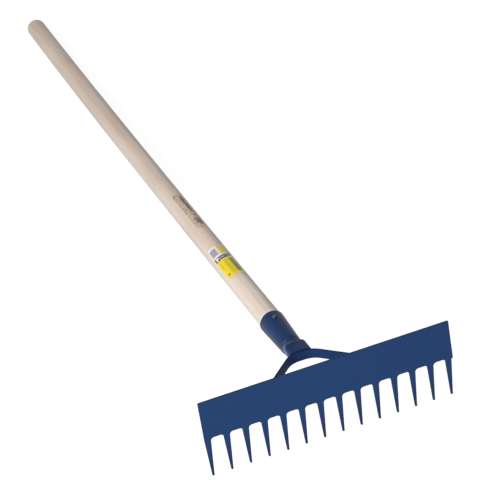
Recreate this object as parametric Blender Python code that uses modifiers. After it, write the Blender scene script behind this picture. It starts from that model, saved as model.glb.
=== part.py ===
import math

import bmesh
import bpy
from mathutils import Matrix, Vector

# A concrete rake: a toothed steel blade, a bent strap and a pressed socket welded behind it, an ash handle.
# Everything is modelled in the blade's own frame: X along the blade, Y from the blade to the user, Z up from
# the tips of the teeth. The rest frame at the end stands the rake on its teeth and the handle's far end.
# Driving dimensions in metres, angles in radians.

touch_gap = 0.0003            # left between pieces that touch

blade_width = 0.4064
blade_height = 0.1283
blade_thickness = 0.003
blade_corner = 0.0012
blade_edge = 0.0003
tooth_count = 14
tooth_length = 0.0656
tooth_root_width = 0.01046
tooth_tip_width = 0.0031
tooth_tip_radius = 0.0013
tooth_lean = math.radians(3.2)
gap_corner = 0.005
shoulder_step = 0.0025        # the first tooth is flush with the blade's end, the last one a step inside it
shoulder_drop = 0.002
shoulder_corner = 0.0012

axis_above_teeth = 0.0055     # where the handle's axis would meet the blade's front face
axis_rise = math.radians(4.6)

bow_shift = 0.0025            # the strap is welded a little to one side
bow_lift = 0.0016             # its middle line above the handle's axis
bow_height = 0.0153
bow_thickness = 0.003
bow_reach = 0.1145            # the blade's front face to the strap's inner face
bow_flat = 0.0352             # the straight middle, between the two bends
bow_angle = math.radians(45)
bow_bend = 0.030              # the inside radius of each bend
bow_foot = 0.022
bow_foot_bend = 0.010
bow_edge = 0.0004

socket_shift = 0.0011
socket_rim = 0.2308           # distances along the axis from the blade's front face
socket_taper = 0.044          # radius lost for each unit of length below the rim
socket_round_end = 0.1540     # the round cone ends here and the pressed shoulder begins
socket_flat_start = 0.147
socket_wall = 0.0016
socket_edge = 0.0004
flat_shift = 0.0034
bulge_length = 0.0042         # the sides bulge out over this length, just before the flat begins
flat_width = 0.0394
flat_thickness = 0.016
flat_crown = 0.36             # the share of the width over which the pressed face bulges

bead_radius = 0.0011
bead_proud = 0.0004
foot_bead_radius = 0.0018

rivet_inset = 0.0183          # from the socket's rim
rivet_shank = 0.005
rivet_head = 0.0082
rivet_head_height = 0.0019

handle_diameter = 0.0376
handle_stop = 0.009           # left free in the socket before its pressed shoulder
handle_chamfer = 0.0015       # at the end inside the socket
handle_far = 1.5105
handle_far_diameter = 0.0361
handle_dome = 0.0135
sway_near = 0.0060            # the shaft isn't dead straight: it bows to one side, then back again
sway_far = 0.0077

label_near = 0.372
label_far = 0.470
label_from = math.radians(-59)   # round the shaft from its top, positive to the right
label_to = math.radians(39)
label_thickness = 0.0002

first_tooth = (tooth_root_width - blade_width) / 2
tooth_pitch = (blade_width - tooth_root_width - shoulder_step) / (tooth_count - 1)
axis_height = tooth_length + axis_above_teeth
bow_back = bow_reach + bow_thickness
socket_rim_radius = handle_diameter / 2 + touch_gap + socket_wall
bow_middle = axis_height + bow_lift / math.cos(axis_rise)
rivet_place = socket_rim - rivet_inset
handle_end = socket_round_end + handle_stop
foot_front = blade_thickness + touch_gap
foot_knee = bow_flat / 2 + (bow_reach - foot_front) / math.tan(bow_angle)

for old in list(bpy.data.objects):
    bpy.data.objects.remove(old)

parts = bpy.data.collections.new("concrete_rake")
cutters = bpy.data.collections.new("cutters")
bpy.context.scene.collection.children.link(parts)
bpy.context.scene.collection.children.link(cutters)


def material(name, colour, roughness, metallic):
    made = bpy.data.materials.new(name)
    made.use_nodes = True
    shader = made.node_tree.nodes["Principled BSDF"]
    shader.inputs["Base Color"].default_value = (*colour, 1.0)
    shader.inputs["Roughness"].default_value = roughness
    shader.inputs["Metallic"].default_value = metallic
    return made


def place(name, data, parent, collection=parts):
    made = bpy.data.objects.new(name, data)
    collection.objects.link(made)
    made.parent = parent
    return made


def rounded(corners, steps):
    # Each corner is x, y and a radius, and becomes an arc that touches its two sides.
    points = []
    for i, (x, y, radius) in enumerate(corners):
        here = Vector((x, y))
        before = (Vector(corners[i - 1][:2]) - here).normalized()
        after = (Vector(corners[(i + 1) % len(corners)][:2]) - here).normalized()
        if radius == 0:
            points.append(here)
            continue
        half = before.angle(after) / 2
        centre = here + (before + after).normalized() * radius / math.sin(half)
        arm = here + before * radius / math.tan(half) - centre
        side = before.x * after.y - before.y * after.x
        turn = -math.copysign(math.pi - 2 * half, side)
        for k in range(steps + 1):
            spoke = arm.copy()
            spoke.rotate(Matrix.Rotation(turn * k / steps, 2))
            points.append(centre + spoke)
    return points


def flat_outline(name, points, thickness, edge):
    # A filled flat outline in its own XY plane, thickened evenly to both sides, with its edges broken.
    curve = bpy.data.curves.new(name, "CURVE")
    curve.dimensions = "2D"
    curve.fill_mode = "BOTH"
    curve.extrude = thickness / 2 - edge
    curve.bevel_depth = edge
    curve.bevel_resolution = 0
    curve.offset = -edge
    spline = curve.splines.new("POLY")
    spline.points.add(len(points) - 1)
    for spot, point in zip(spline.points, points):
        spot.co = (point.x, point.y, 0, 1)
    spline.use_cyclic_u = True
    return curve


def bar(name, points, radius, closed):
    # A round bar along a line of points.
    curve = bpy.data.curves.new(name, "CURVE")
    curve.dimensions = "3D"
    curve.bevel_depth = radius
    curve.bevel_resolution = 2
    curve.use_fill_caps = not closed
    spline = curve.splines.new("POLY")
    spline.points.add(len(points) - 1)
    for spot, point in zip(spline.points, points):
        spot.co = (*point, 1)
    spline.use_cyclic_u = closed
    return curve


def to_mesh(made):
    # Replaces a curve, or a mesh with modifiers, by the mesh that it makes, at the same place.
    seen = made.evaluated_get(bpy.context.evaluated_depsgraph_get())
    mesh = bpy.data.meshes.new_from_object(seen)
    shape = bmesh.new()
    shape.from_mesh(mesh)
    bmesh.ops.remove_doubles(shape, verts=shape.verts, dist=0.000002)
    bmesh.ops.recalc_face_normals(shape, faces=shape.faces)
    shape.to_mesh(mesh)
    shape.free()
    name = made.name
    spot = made.matrix_local.copy()
    parent = made.parent
    bpy.data.objects.remove(made)
    mesh.name = name
    made = place(name, mesh, parent)
    made.matrix_local = spot
    return made


def finish(made, surface, angle=35):
    made.data.materials.clear()
    made.data.materials.append(surface)
    made.data.shade_smooth()
    made.data.set_sharp_from_angle(angle=math.radians(angle))
    return made


def turned(name, profile, parent, steps, sweep=math.tau):
    # The profile holds radii and heights, and runs down the outer side from top to bottom.
    mesh = bpy.data.meshes.new(name)
    edges = [(i, i + 1) for i in range(len(profile) - 1)]
    mesh.from_pydata([(r, 0, z) for r, z in profile], edges, [])
    made = place(name, mesh, parent)
    screw = made.modifiers.new("Turn", "SCREW")
    screw.angle = sweep
    screw.steps = steps
    screw.render_steps = steps
    screw.use_merge_vertices = True
    screw.merge_threshold = 0.00001
    return made


def cut(made, cutter):
    boolean = made.modifiers.new("Hole", "BOOLEAN")
    boolean.operation = "DIFFERENCE"
    boolean.object = cutter


paint = material("navy_paint", (0.021, 0.054, 0.150), 0.38, 0.0)
wood = material("ash", (0.60, 0.50, 0.41), 0.60, 0.0)
paper = material("label_paper", (0.80, 0.66, 0.10), 0.45, 0.0)
steel = material("rivet_steel", (0.10, 0.16, 0.26), 0.35, 0.2)

rest = place("rest", None, None)
axis = place("axis", None, rest)
axis.location = (0, 0, axis_height)
axis.rotation_euler = (axis_rise - math.pi / 2, 0, 0)


# The blade: one outline with every tooth, then the teeth are bent back along the line of their roots.
def blade_outline():
    corners = []
    tip_round = min(tooth_tip_radius, 0.45 * tooth_tip_width)
    for k in range(tooth_count):
        x = first_tooth + k * tooth_pitch
        first = k == 0
        last = k == tooth_count - 1
        left = -blade_width / 2 if first else x - tooth_root_width / 2
        corners.append((left, tooth_length, 0 if first else gap_corner))
        corners.append((x - tooth_tip_width / 2, 0, tip_round))
        corners.append((x + tooth_tip_width / 2, 0, tip_round))
        if not last:
            corners.append((x + tooth_root_width / 2, tooth_length, gap_corner))
    shoulder = tooth_length - shoulder_drop
    corners.append((x + tooth_root_width / 2, shoulder, shoulder_corner))
    corners.append((blade_width / 2, shoulder, shoulder_corner))
    corners.append((blade_width / 2, blade_height, blade_corner))
    corners.append((-blade_width / 2, blade_height, blade_corner))
    return rounded(corners, 4)


blade = place("blade", flat_outline("blade", blade_outline(), blade_thickness, blade_edge), rest)
blade.rotation_euler = (math.pi / 2, 0, 0)
blade.location = (0, blade_thickness / 2, 0)
bpy.context.view_layer.update()
blade = to_mesh(blade)
shape = bmesh.new()
shape.from_mesh(blade.data)
bmesh.ops.dissolve_limit(shape, angle_limit=0.001, verts=shape.verts, edges=shape.edges)
everything = shape.verts[:] + shape.edges[:] + shape.faces[:]
bmesh.ops.bisect_plane(shape, geom=everything, dist=0.000001, plane_co=(0, tooth_length, 0), plane_no=(0, 1, 0))
for vert in shape.verts:
    vert.co.z -= math.tan(tooth_lean) * max(0, tooth_length - vert.co.y)
shape.to_mesh(blade.data)
shape.free()
finish(blade, paint)


# The bow: the strap seen from above, mirrored about its middle, standing on edge and rising with the axis.
def bow_outline():
    middle = bow_flat / 2
    end = foot_knee + bow_foot
    back = foot_front + bow_thickness
    step = bow_thickness * math.tan(bow_angle / 2)
    inner = [(middle, bow_reach, bow_bend), (foot_knee, foot_front, bow_foot_bend + bow_thickness)]
    inner.append((end, foot_front, 0))
    outer = [(end, back, 0), (foot_knee + step, back, bow_foot_bend)]
    outer.append((middle + step, bow_back, bow_bend + bow_thickness))
    mirrored = [(-x, y, r) for x, y, r in reversed(outer)], [(-x, y, r) for x, y, r in reversed(inner)]
    return rounded(mirrored[1] + inner + outer + mirrored[0], 6)


bow = place("bow", flat_outline("bow", bow_outline(), bow_height, bow_edge), rest)
bow.location = (bow_shift, 0, bow_middle)
bpy.context.view_layer.update()
bow = to_mesh(bow)
for vert in bow.data.vertices:
    vert.co.z += vert.co.y * math.tan(axis_rise)
finish(bow, paint)


# The socket: a loft from the round rim, down a cone, through the pressed shoulder to the flat oval end.
def socket_radius(s):
    return socket_rim_radius - socket_taper * (socket_rim - s)


def strap_back(x, away):
    # The line round the back of the strap, kept away from it, at x from the strap's middle.
    bent = max(0, abs(x) - bow_flat / 2 + bow_bend * math.tan(bow_angle / 2))
    radius = bow_bend + bow_thickness
    return bow_back - radius + math.sqrt((radius + away) ** 2 - bent ** 2)


def pressed(turn, inset):
    # A point of the pressed oval, whose flat faces bulge a little, drawn in by the inset.
    half_width = flat_width / 2 - inset
    half_height = flat_thickness / 2 - inset
    reach = max(-1, min(1, math.cos(turn) / flat_crown))
    return (half_width - half_height) * reach + half_height * math.cos(turn), half_height * math.sin(turn)


def press_share(s, length):
    # How far the socket is pressed at s: from none to all of it over the length just before the flat.
    share = min(max((socket_flat_start + length - s) / length, 0), 1)
    return share * share * (3 - 2 * share)


def socket_ring(s, count):
    # Without a place along the axis, the ring is the socket's front end, shaped to the back of the strap.
    press = press_share(s, socket_round_end - socket_flat_start) if s else 1
    bulge = press_share(s, bulge_length) if s else 1
    ring = []
    for k in range(count):
        turn = math.tau * k / count
        flat_x, flat_y = pressed(turn, 0)
        x = bulge * (flat_x + flat_shift)
        y = press * (flat_y - bow_lift)
        if s:
            x += (1 - bulge) * (socket_radius(s) * math.cos(turn) + socket_shift)
            y += (1 - press) * socket_radius(s) * math.sin(turn)
            ring.append((x, y, s))
        else:
            front = strap_back(x - bow_shift, 2 * (touch_gap + bead_radius))
            ring.append((x, y, (front - y * math.sin(axis_rise)) / math.cos(axis_rise)))
    return ring


def socket_stations():
    stations = [socket_rim + (socket_round_end - socket_rim) * k / 4 for k in range(4)]
    stations += [socket_round_end + (socket_flat_start - socket_round_end) * k / 8 for k in range(9)]
    return stations


socket_mesh = bpy.data.meshes.new("socket")
socket = place("socket", socket_mesh, axis)
shape = bmesh.new()
sides = 48
rings = [socket_ring(s, sides) for s in socket_stations() + [None]]
loops = [[shape.verts.new(point) for point in ring] for ring in rings]
for upper, lower in zip(loops, loops[1:]):
    for k in range(sides):
        after = (k + 1) % sides
        shape.faces.new((lower[k], lower[after], upper[after], upper[k]))
shape.to_mesh(socket_mesh)
shape.free()
shell = socket.modifiers.new("Wall", "SOLIDIFY")
shell.thickness = socket_wall
shell.offset = -1
soften = socket.modifiers.new("Rim", "BEVEL")
soften.width = socket_edge
soften.segments = 2
soften.limit_method = "ANGLE"
soften.angle_limit = math.radians(60)

# The rivet goes through both walls of the socket and the shaft, square to the axis.
hole_radius = rivet_shank / 2 + touch_gap
hole_shape = bmesh.new()
bmesh.ops.create_cone(hole_shape, cap_ends=True, segments=24, radius1=hole_radius, radius2=hole_radius,
                      depth=4 * socket_rim_radius)
hole_mesh = bpy.data.meshes.new("rivet_hole")
hole_shape.to_mesh(hole_mesh)
hole_shape.free()
hole = place("rivet_hole", hole_mesh, axis, cutters)
hole.location = (socket_shift, 0, rivet_place)
hole.rotation_euler = (math.pi / 2, 0, 0)
hole.hide_render = True
hole.display_type = "WIRE"
cut(socket, hole)
finish(socket, paint, 40)


def rivet_profile():
    seat = socket_radius(rivet_place + rivet_head / 2) + touch_gap
    dome = []
    for k in range(6):
        turn = math.pi / 2 * k / 5
        dome.append((rivet_head / 2 * math.sin(turn), seat + rivet_head_height * math.cos(turn)))
    upper = dome + [(rivet_shank / 2, seat)]
    return upper + [(r, -z) for r, z in reversed(upper)]


rivet = turned("rivet", rivet_profile(), axis, 24)
rivet.location = (socket_shift, 0, rivet_place)
rivet.rotation_euler = (math.pi / 2, 0, 0)
bpy.context.view_layer.update()
rivet = finish(to_mesh(rivet), steel)


# The handle: a turned shaft that tapers inside the socket, then bowed a little along its length.
dome_base = handle_far - handle_dome


def handle_radius(s):
    t = (s - socket_rim) / (dome_base - socket_rim)
    return handle_diameter / 2 + (handle_far_diameter - handle_diameter) / 2 * t


def sway_along(made):
    # Moves each point of a piece on the axis sideways as the shaft is bowed there.
    for vert in made.data.vertices:
        vert.co = made.matrix_basis @ vert.co
        t = max(0, (vert.co.z - socket_rim) / (handle_far - socket_rim))
        vert.co.x += socket_shift - sway_near * t + sway_far * t ** 3
    made.matrix_basis = Matrix.Identity(4)


def handle_profile():
    profile = []
    for k in range(8):
        turn = math.pi / 2 * k / 8
        profile.append((handle_radius(dome_base) * math.sin(turn), dome_base + handle_dome * math.cos(turn)))
    lengths = 22
    for k in range(lengths + 1):
        s = dome_base + (socket_rim - dome_base) * k / lengths
        profile.append((handle_radius(s), s))
    tip = socket_radius(handle_end) - socket_wall - touch_gap
    profile.append((tip, handle_end + handle_chamfer))
    profile.append((tip - handle_chamfer, handle_end))
    profile.append((0, handle_end))
    return profile


handle = turned("handle", handle_profile(), axis, 48)
bpy.context.view_layer.update()
handle = to_mesh(handle)
sway_along(handle)
cut(handle, hole)
finish(handle, wood)

# The label: part of a turn round the shaft.
label_edges = [(handle_radius(s) + touch_gap, s) for s in (label_far, label_near)]
label = turned("label", label_edges, axis, 24, label_to - label_from)
label.rotation_euler = (0, 0, label_from - math.pi / 2)
film = label.modifiers.new("Film", "SOLIDIFY")
film.thickness = label_thickness
film.offset = 1
bpy.context.view_layer.update()
label = to_mesh(label)
sway_along(label)
finish(label, paper)


# The welds: a bead round the socket's flat end, and one over the top and the end of each of the bow's feet.
def socket_bead():
    path = []
    for k in range(36):
        x, z = pressed(math.tau * k / 36, bead_radius - bead_proud)
        y = strap_back(x + flat_shift - bow_shift, touch_gap + bead_radius)
        path.append((flat_shift + x, y, bow_middle + y * math.tan(axis_rise) + z))
    return path


socket_weld = place("socket_weld", bar("socket_weld", socket_bead(), bead_radius, True), rest)
bpy.context.view_layer.update()
finish(to_mesh(socket_weld), paint, 60)

foot_middle = bow_middle + foot_front * math.tan(axis_rise)
for side, name in ((-1, "blade_weld_left"), (1, "blade_weld_right")):
    clear = touch_gap + foot_bead_radius
    end = foot_knee + bow_foot + clear
    top = foot_middle + bow_thickness * math.tan(axis_rise) + bow_height / 2 + clear
    low = foot_middle - bow_height / 4
    corner = foot_bead_radius
    path = [(foot_knee + (bow_foot_bend + bow_thickness) * math.tan(bow_angle / 2), top)]
    path += [(end - corner + corner * math.sin(turn), top - corner + corner * math.cos(turn))
             for turn in (math.pi / 2 * k / 4 for k in range(5))]
    path.append((end, low))
    y = blade_thickness + clear
    bead = bar(name, [(bow_shift + side * x, y, z) for x, z in path], foot_bead_radius, False)
    weld = place(name, bead, rest)
    bpy.context.view_layer.update()
    finish(to_mesh(weld), paint, 60)

# The rest frame: turned about X until the teeth and the handle's far end are level, then set on the floor with
# the middle of its footprint at the origin.
bpy.context.view_layer.update()
graph = bpy.context.evaluated_depsgraph_get()
spots = {}
for made in parts.objects:
    if made.type == "MESH":
        seen = made.evaluated_get(graph)
        spots[made.name] = [made.matrix_world @ vert.co for vert in seen.to_mesh().vertices]
        seen.to_mesh_clear()


def lowest(name, angle):
    return min(spot.z * math.cos(angle) - spot.y * math.sin(angle) for spot in spots[name])


flat_side = 0.0
steep_side = math.radians(15)
for k in range(50):
    angle = (flat_side + steep_side) / 2
    if lowest("handle", angle) > lowest("blade", angle):
        flat_side = angle
    else:
        steep_side = angle
turn = Matrix.Rotation(-angle, 4, "X")
turned_spots = [turn @ spot for group in spots.values() for spot in group]
low = [min(spot[k] for spot in turned_spots) for k in range(3)]
high = [max(spot[k] for spot in turned_spots) for k in range(3)]
rest.rotation_euler = (-angle, 0, 0)
rest.location = (-(low[0] + high[0]) / 2, -(low[1] + high[1]) / 2, -low[2])
bpy.context.view_layer.update()
print("rest angle", math.degrees(angle), "rest location", tuple(rest.location))
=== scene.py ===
import math

import bmesh
import bpy
from mathutils import Matrix, Vector, kdtree, noise


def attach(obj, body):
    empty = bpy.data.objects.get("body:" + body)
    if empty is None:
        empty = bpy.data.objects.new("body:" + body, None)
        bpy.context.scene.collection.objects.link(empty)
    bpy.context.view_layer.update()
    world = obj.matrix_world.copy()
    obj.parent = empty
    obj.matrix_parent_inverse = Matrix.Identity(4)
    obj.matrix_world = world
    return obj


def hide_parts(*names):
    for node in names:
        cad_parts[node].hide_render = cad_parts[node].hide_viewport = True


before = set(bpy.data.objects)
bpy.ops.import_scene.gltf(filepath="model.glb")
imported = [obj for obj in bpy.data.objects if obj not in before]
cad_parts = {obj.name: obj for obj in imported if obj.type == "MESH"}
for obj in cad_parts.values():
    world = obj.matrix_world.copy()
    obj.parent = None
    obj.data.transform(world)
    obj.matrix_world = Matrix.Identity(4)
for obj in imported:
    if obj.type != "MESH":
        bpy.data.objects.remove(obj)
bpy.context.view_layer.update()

# Where the head stands, and where the shaft's line starts in it.
stand = {
    "place": (0, -0.7607127, 0.0007366),
    "tilt": 6.6412182,
    "axisHeight": 0.0711,
    "axisRise": 4.6,
}
headFrame = Matrix.Translation(stand["place"]) @ Matrix.Rotation(math.radians(-stand["tilt"]), 4, "X")
shaftFrame = (headFrame @ Matrix.Translation((0, 0, stand["axisHeight"]))
              @ Matrix.Rotation(math.radians(stand["axisRise"]), 4, "X"))
shaftTilt = math.radians(stand["axisRise"] - stand["tilt"])
headBack = headFrame.to_3x3() @ Vector((0, 1, 0))
headUp = headFrame.to_3x3() @ Vector((0, 0, 1))
alongShaft = shaftFrame.to_3x3() @ Vector((0, 1, 0))


# Small helpers for nodes
def put(tree, socket, value):
    if isinstance(value, bpy.types.NodeSocket):
        tree.links.new(value, socket)
    else:
        socket.default_value = value


def addNode(tree, kind, inputs=None, **settings):
    made = tree.nodes.new(kind)
    for name, value in settings.items():
        setattr(made, name, value)
    for socket, value in (inputs or {}).items():
        put(tree, made.inputs[socket], value)
    return made


def maths(tree, operation, first, second):
    return addNode(tree, "ShaderNodeMath", {0: first, 1: second}, operation=operation).outputs[0]


def times(tree, first, *others):
    for other in others:
        first = maths(tree, "MULTIPLY", first, other)
    return first


def plus(tree, first, *others):
    for other in others:
        first = maths(tree, "ADD", first, other)
    return first


def minus(tree, first, second):
    return maths(tree, "SUBTRACT", first, second)


def ramp(tree, value, low, high, start=0.0, end=1.0, smooth=True):
    inputs = {"Value": value, "From Min": low, "From Max": high, "To Min": start, "To Max": end}
    kind = "SMOOTHSTEP" if smooth else "LINEAR"
    return addNode(tree, "ShaderNodeMapRange", inputs, interpolation_type=kind).outputs["Result"]


def between(tree, value, low, high, soft):
    # One from low to high and nothing outside, with soft steps.
    return times(tree, ramp(tree, value, low - soft, low + soft),
                 ramp(tree, value, high + soft, high - soft))


def blend(tree, mask, first, second, mode="MIX"):
    # The colour mix node keeps its two colours at places 6 and 7, and its result at place 2.
    made = addNode(tree, "ShaderNodeMix", {"Factor": mask}, data_type="RGBA", blend_type=mode)
    put(tree, made.inputs[6], first)
    put(tree, made.inputs[7], second)
    return made.outputs[2]


def tinted(tree, mask, colour, tint):
    return blend(tree, mask, colour, tint, "MULTIPLY")


def noiseOf(tree, point, scale, detail, roughness, distortion=0.0):
    inputs = {"Vector": point, "Scale": scale, "Detail": detail, "Roughness": roughness,
              "Distortion": distortion}
    return addNode(tree, "ShaderNodeTexNoise", inputs).outputs["Fac"]


def objectPoint(tree):
    return addNode(tree, "ShaderNodeTexCoord").outputs["Object"]


def stretched(tree, point, scale, turn=(0, 0, 0)):
    inputs = {"Vector": point, "Rotation": turn, "Scale": scale}
    return addNode(tree, "ShaderNodeMapping", inputs, vector_type="POINT").outputs[0]


def pointIn(tree, base, lean):
    # Where a point lies in a frame that starts at base and is turned about X: across, along and up.
    inputs = {"Vector": objectPoint(tree), "Location": base, "Rotation": (lean, 0, 0)}
    return addNode(tree, "ShaderNodeMapping", inputs, vector_type="TEXTURE").outputs[0]


def splitOf(tree, vector):
    return addNode(tree, "ShaderNodeSeparateXYZ", {0: vector}).outputs


def attributeOf(tree, name):
    return addNode(tree, "ShaderNodeAttribute", attribute_name=name).outputs["Fac"]


def newGroup(name, inputs, outputs):
    tree = bpy.data.node_groups.new(name, "ShaderNodeTree")
    for socket, kind, value in inputs:
        made = tree.interface.new_socket(socket, in_out="INPUT", socket_type=kind)
        made.default_value = value
    for socket, kind in outputs:
        tree.interface.new_socket(socket, in_out="OUTPUT", socket_type=kind)
    return tree, tree.nodes.new("NodeGroupInput").outputs, tree.nodes.new("NodeGroupOutput").inputs


def useGroup(tree, group, **values):
    made = addNode(tree, "ShaderNodeGroup", node_tree=group)
    for socket, value in values.items():
        put(tree, made.inputs[socket], value)
    return made.outputs


def newSurface(name, **constants):
    surface = bpy.data.materials.new(name)
    surface.use_nodes = True
    shader = surface.node_tree.nodes["Principled BSDF"]
    for socket, value in constants.items():
        shader.inputs[socket.replace("_", " ")].default_value = value
    return surface, surface.node_tree, shader


def roughen(tree, shader, height, strength, distance):
    bump = addNode(tree, "ShaderNodeBump", {"Height": height, "Strength": strength, "Distance": distance})
    put(tree, shader.inputs["Normal"], bump.outputs[0])


def repaint(tree, shader, mask, colour):
    # Lays another colour over what already feeds the base colour.
    before = shader.inputs["Base Color"].links[0].from_socket
    put(tree, shader.inputs["Base Color"], blend(tree, mask, before, colour))


# Most of a noise's values lie between these two.
noiseSpan = (0.3, 0.7)

# Brushed-on enamel: a slow drift of tone, a fine orange peel, a few specks and small scuffs.
paint = {
    "colour": (0.0098, 0.0465, 0.155, 1), "drift": 0.12, "gloss": 0.36, "scuffs": 0.3, "specular": 0.2,
    "peelDepth": 0.00003, "peelStrength": 0.5, "darkened": (0.005, 0.010, 0.028, 1),
}
coat = {
    # each pattern's scale, detail and roughness, and for the last one its distortion too
    "drift": (9.0, 3, 0.55), "hue": (38.0, 2, 0.5), "cloud": (55.0, 3, 0.6), "peel": (620.0, 2, 0.4),
    "speck": (1500.0, 1, 0.4), "scuff": (190.0, 4, 0.65, 0.4),
    "brushTurn": (0.3, 0.5, 0.9), "brushStretch": (1, 0.06, 0.8),
    # the noise values between which each mask sets in
    "specks": (0.70, 0.80), "scuffs": (0.66, 0.74), "scuffedPatches": (0.48, 0.66),
    # how much each adds to the colour, to the roughness and to the height
    "driftShare": 1.6, "cloudShare": 0.8, "warmth": 0.9, "greenShare": 0.22, "scuffShare": 0.35,
    "speckShare": 0.25, "cloudRough": 0.10, "scuffRough": 0.25, "peelHeight": 0.7, "cloudHeight": 1.2,
    "speckHeight": 0.35,
    "scuffColour": (0.10, 0.13, 0.19, 1), "speckColour": (0.002, 0.010, 0.040, 1),
}
coatGroup, coatIn, coatOut = newGroup(
    "enamelCoat",
    [("Colour", "NodeSocketColor", paint["colour"]), ("Drift", "NodeSocketFloat", paint["drift"]),
     ("Gloss", "NodeSocketFloat", paint["gloss"]), ("Scuffs", "NodeSocketFloat", paint["scuffs"])],
    [("Colour", "NodeSocketColor"), ("Roughness", "NodeSocketFloat"), ("Height", "NodeSocketFloat")])
coatPoint = objectPoint(coatGroup)
drift = noiseOf(coatGroup, coatPoint, *coat["drift"])
hue = noiseOf(coatGroup, coatPoint, *coat["hue"])
cloud = noiseOf(coatGroup, coatPoint, *coat["cloud"])
peel = noiseOf(coatGroup, coatPoint, *coat["peel"])
speck = ramp(coatGroup, noiseOf(coatGroup, coatPoint, *coat["speck"]), *coat["specks"])
brushPoint = stretched(coatGroup, coatPoint, coat["brushStretch"], coat["brushTurn"])
scuff = ramp(coatGroup, noiseOf(coatGroup, brushPoint, *coat["scuff"]), *coat["scuffs"])
scuff = times(coatGroup, scuff, ramp(coatGroup, cloud, *coat["scuffedPatches"]), coatIn["Scuffs"])
tone = plus(coatGroup, times(coatGroup, minus(coatGroup, drift, 0.5), coat["driftShare"]),
            times(coatGroup, minus(coatGroup, cloud, 0.5), coat["cloudShare"]))
tone = plus(coatGroup, times(coatGroup, tone, coatIn["Drift"]), 1.0)
warm = times(coatGroup, minus(coatGroup, hue, 0.5), coat["warmth"])
toneColour = addNode(coatGroup, "ShaderNodeCombineColor", {
    "Red": plus(coatGroup, tone, warm),
    "Green": minus(coatGroup, tone, times(coatGroup, warm, coat["greenShare"])),
    "Blue": tone}).outputs[0]
toned = tinted(coatGroup, 1.0, coatIn["Colour"], toneColour)
toned = blend(coatGroup, times(coatGroup, scuff, coat["scuffShare"]), toned, coat["scuffColour"])
toned = blend(coatGroup, times(coatGroup, speck, coat["speckShare"]), toned, coat["speckColour"])
put(coatGroup, coatOut["Colour"], toned)
put(coatGroup, coatOut["Roughness"], plus(coatGroup, coatIn["Gloss"],
                                          times(coatGroup, cloud, coat["cloudRough"]),
                                          times(coatGroup, scuff, coat["scuffRough"])))
put(coatGroup, coatOut["Height"], plus(coatGroup, times(coatGroup, peel, coat["peelHeight"]),
                                       times(coatGroup, cloud, coat["cloudHeight"]),
                                       times(coatGroup, speck, coat["speckHeight"])))


def enamel(name, colour=paint["colour"], drift=paint["drift"], gloss=paint["gloss"],
           scuffs=paint["scuffs"], depth=1.0, specular=paint["specular"]):
    surface, tree, shader = newSurface(name, Specular_IOR_Level=specular)
    look = useGroup(tree, coatGroup, Colour=colour, Drift=drift, Gloss=gloss, Scuffs=scuffs)
    put(tree, shader.inputs["Base Color"], look["Colour"])
    put(tree, shader.inputs["Roughness"], look["Roughness"])
    roughen(tree, shader, look["Height"], paint["peelStrength"], paint["peelDepth"] * depth)
    return surface, tree, shader


# Ash: rings cut at a slant, pores in short dashes along the shaft, and slow streaks of tone.
ash = {
    "pale": (0.90, 0.775, 0.68, 1), "tan": (0.71, 0.555, 0.45, 1), "pore": (0.43, 0.31, 0.225, 1),
    # the rings' spacing, how their planes lean across and along, and how far the slow noise bends them
    "ringSpacing": 0.0034, "leanAcross": 0.42, "leanAlong": 0.006, "ringBend": 0.007,
    "ringDetail": 3.0, "ringRoughness": 0.6,
    # each pattern's scale, detail and roughness, and how it is drawn out along the shaft
    "streak": (110, 4, 0.6), "streakStretch": (1, 0.03, 1),
    "slow": (26, 3, 0.5), "slowStretch": (1, 0.25, 1),
    "pores": (1500, 2, 0.5), "poreStretch": (1, 0.05, 1),
    # the noise values between which each mask sets in
    "earlyWood": (0.47, 0.68), "openPores": (0.58, 0.72),
    "streaked": (0.40, 0.72), "slowPatches": (0.35, 0.70),
    # how much each adds to the colour and to the height, and the roughness
    "earlyShare": 0.30, "streakShare": 0.34, "slowShare": 0.30, "poreShare": 0.30, "latePores": 0.12,
    "streakHeight": 0.4, "poreHeight": 0.6, "roughFrom": 0.52, "roughTo": 0.66,
}
grainGroup, grainIn, grainOut = newGroup(
    "ashGrain",
    [("Point", "NodeSocketVector", (0, 0, 0)), ("Pale", "NodeSocketColor", ash["pale"]),
     ("Tan", "NodeSocketColor", ash["tan"]), ("Pore", "NodeSocketColor", ash["pore"])],
    [("Colour", "NodeSocketColor"), ("Roughness", "NodeSocketFloat"), ("Height", "NodeSocketFloat")])
grainPoint = grainIn["Point"]
grainPlace = splitOf(grainGroup, grainPoint)
streak = noiseOf(grainGroup, stretched(grainGroup, grainPoint, ash["streakStretch"]), *ash["streak"])
slow = noiseOf(grainGroup, stretched(grainGroup, grainPoint, ash["slowStretch"]), *ash["slow"])
depth = plus(grainGroup, times(grainGroup, grainPlace["X"], ash["leanAcross"]), grainPlace["Z"],
             times(grainGroup, grainPlace["Y"], ash["leanAlong"]), times(grainGroup, slow, ash["ringBend"]))
ringInputs = {"W": times(grainGroup, depth, 1 / ash["ringSpacing"]), "Scale": 1.0,
              "Detail": ash["ringDetail"], "Roughness": ash["ringRoughness"]}
rings = addNode(grainGroup, "ShaderNodeTexNoise", ringInputs, noise_dimensions="1D").outputs["Fac"]
early = ramp(grainGroup, rings, *ash["earlyWood"])
pores = noiseOf(grainGroup, stretched(grainGroup, grainPoint, ash["poreStretch"]), *ash["pores"])
pores = times(grainGroup, ramp(grainGroup, pores, *ash["openPores"]),
              ramp(grainGroup, early, 0.0, 1.0, ash["latePores"], 1.0))
tanMask = plus(grainGroup, times(grainGroup, early, ash["earlyShare"]),
               ramp(grainGroup, streak, *ash["streaked"], 0.0, ash["streakShare"]),
               ramp(grainGroup, slow, *ash["slowPatches"], 0.0, ash["slowShare"]))
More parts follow.
